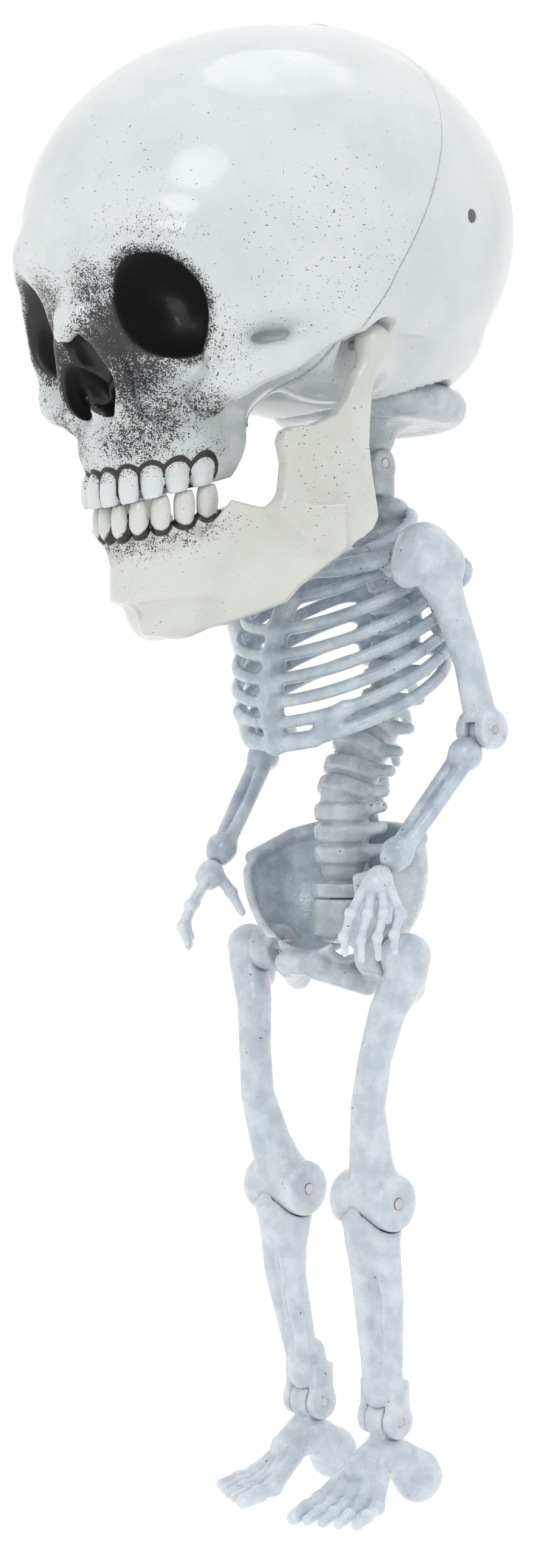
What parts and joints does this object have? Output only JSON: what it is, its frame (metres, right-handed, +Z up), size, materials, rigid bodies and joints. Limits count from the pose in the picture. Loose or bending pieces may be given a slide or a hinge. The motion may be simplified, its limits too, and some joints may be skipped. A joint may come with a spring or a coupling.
{
  "type": "hanging skeleton figure",
  "caption": "Hanging jointed skeleton figure with an oversized skull, opening jaw and small translucent moulded body.",
  "frame": {"origin": "centre of the hanging hole at the crown of the skull, at the top of its eyelet", "axes": "+Z up, the figure faces -Y, its own left side is +X"},
  "size_m": [0.1408, 0.1852, 0.504],
  "materials": {
    "skull_plastic": "glossy white moulded plastic, black airbrush shading in the eye sockets, nose and teeth, fine black speckle",
    "jaw_plastic": "glossy slightly creamy white moulded plastic, black wash between the teeth",
    "bone_plastic": "milky translucent soft-touch moulded plastic with fine mould lines and a few dark specks",
    "pin_steel": "plain steel pins, mostly hidden",
    "screw_steel": "small blackened self-tapping screws set deep in their holes",
    "eyelet_plastic": "plain pale plastic"
  },
  "bodies": {
    "skull": {"skull_front_shell": "skull_plastic", "skull_rear_shell": "skull_plastic", "shell_screws": "screw_steel", "jaw_pins": "pin_steel", "hang_eyelet": "eyelet_plastic"},
    "jaw": {"jaw": "jaw_plastic"},
    "neck": {"neck_collar": "bone_plastic", "neck_retainer": "eyelet_plastic"},
    "torso": {"spine_column": "bone_plastic", "neck_pin": "pin_steel", "ribcage_front": "bone_plastic", "ribcage_back": "bone_plastic", "shoulder_peg_left": "bone_plastic", "shoulder_peg_right": "bone_plastic"},
    "pelvis": {"pelvis": "bone_plastic", "waist_peg": "bone_plastic", "hip_peg_left": "bone_plastic", "hip_peg_right": "bone_plastic"},
    "upper_arm_left": {"upper_arm_left": "bone_plastic"},
    "forearm_left": {"forearm_left": "bone_plastic", "elbow_pin_left": "pin_steel"},
    "hand_left": {"hand_left": "bone_plastic", "wrist_peg_left": "bone_plastic"},
    "thigh_left": {"thigh_left": "bone_plastic"},
    "shin_left": {"shin_left": "bone_plastic", "knee_pin_left": "pin_steel", "ankle_pin_left": "pin_steel"},
    "foot_left": {"foot_left": "bone_plastic"},
    "upper_arm_right": {"upper_arm_right": "bone_plastic"},
    "forearm_right": {"forearm_right": "bone_plastic", "elbow_pin_right": "pin_steel"},
    "hand_right": {"hand_right": "bone_plastic", "wrist_peg_right": "bone_plastic"},
    "thigh_right": {"thigh_right": "bone_plastic"},
    "shin_right": {"shin_right": "bone_plastic", "knee_pin_right": "pin_steel", "ankle_pin_right": "pin_steel"},
    "foot_right": {"foot_right": "bone_plastic"}
  },
  "joints": [
    {"name": "jaw_hinge", "type": "hinge", "parent": "skull", "child": "jaw", "pos_m": [0, -0.025, -0.117], "axis": [1, 0, 0], "range_deg": [0, 12]},
    {"name": "head_turn", "type": "hinge", "parent": "skull", "child": "neck", "pos_m": [0, 0.026, -0.128], "axis": [0, 0, 1], "range_deg": [-12, 12]},
    {"name": "head_nod", "type": "hinge", "parent": "neck", "child": "torso", "pos_m": [0, 0.026, -0.147], "axis": [1, 0, 0], "range_deg": [-8, 8]},
    {"name": "waist_turn", "type": "hinge", "parent": "torso", "child": "pelvis", "pos_m": [0, 0.013, -0.297], "axis": [0, 0, 1], "range_deg": [-8, 8]},
    {"name": "shoulder_left", "type": "hinge", "parent": "torso", "child": "upper_arm_left", "pos_m": [0.05, 0.004, -0.184], "axis": [-1, 0, 0], "range_deg": [0, 40]},
    {"name": "elbow_left", "type": "hinge", "parent": "upper_arm_left", "child": "forearm_left", "pos_m": [0.051, 0.028, -0.24], "axis": [-1, 0, 0], "range_deg": [0, 20]},
    {"name": "wrist_left", "type": "hinge", "parent": "forearm_left", "child": "hand_left", "pos_m": [0.042, -0.0087, -0.286], "axis": [-0.1512, -0.6165, -0.7727], "range_deg": [-8, 8]},
    {"name": "hip_left", "type": "hinge", "parent": "pelvis", "child": "thigh_left", "pos_m": [0.039, 0.005, -0.315], "axis": [-1, 0, 0], "range_deg": [-25, 40]},
    {"name": "knee_left", "type": "hinge", "parent": "thigh_left", "child": "shin_left", "pos_m": [0.0215, 0.006, -0.398], "axis": [1, 0, 0], "range_deg": [0, 75]},
    {"name": "ankle_left", "type": "hinge", "parent": "shin_left", "child": "foot_left", "pos_m": [0.0185, 0.015, -0.4735], "axis": [1, 0, 0], "range_deg": [-18, 18]},
    {"name": "shoulder_right", "type": "hinge", "parent": "torso", "child": "upper_arm_right", "pos_m": [-0.05, 0.004, -0.184], "axis": [-1, 0, 0], "range_deg": [0, 40]},
    {"name": "elbow_right", "type": "hinge", "parent": "upper_arm_right", "child": "forearm_right", "pos_m": [-0.051, 0.028, -0.24], "axis": [-1, 0, 0], "range_deg": [0, 20]},
    {"name": "wrist_right", "type": "hinge", "parent": "forearm_right", "child": "hand_right", "pos_m": [-0.042, -0.0087, -0.286], "axis": [0.1512, -0.6165, -0.7727], "range_deg": [-8, 8]},
    {"name": "hip_right", "type": "hinge", "parent": "pelvis", "child": "thigh_right", "pos_m": [-0.039, 0.005, -0.315], "axis": [-1, 0, 0], "range_deg": [-25, 40]},
    {"name": "knee_right", "type": "hinge", "parent": "thigh_right", "child": "shin_right", "pos_m": [-0.0215, 0.006, -0.398], "axis": [1, 0, 0], "range_deg": [0, 75]},
    {"name": "ankle_right", "type": "hinge", "parent": "shin_right", "child": "foot_right", "pos_m": [-0.0185, 0.015, -0.4735], "axis": [1, 0, 0], "range_deg": [-18, 18]}
  ]
}
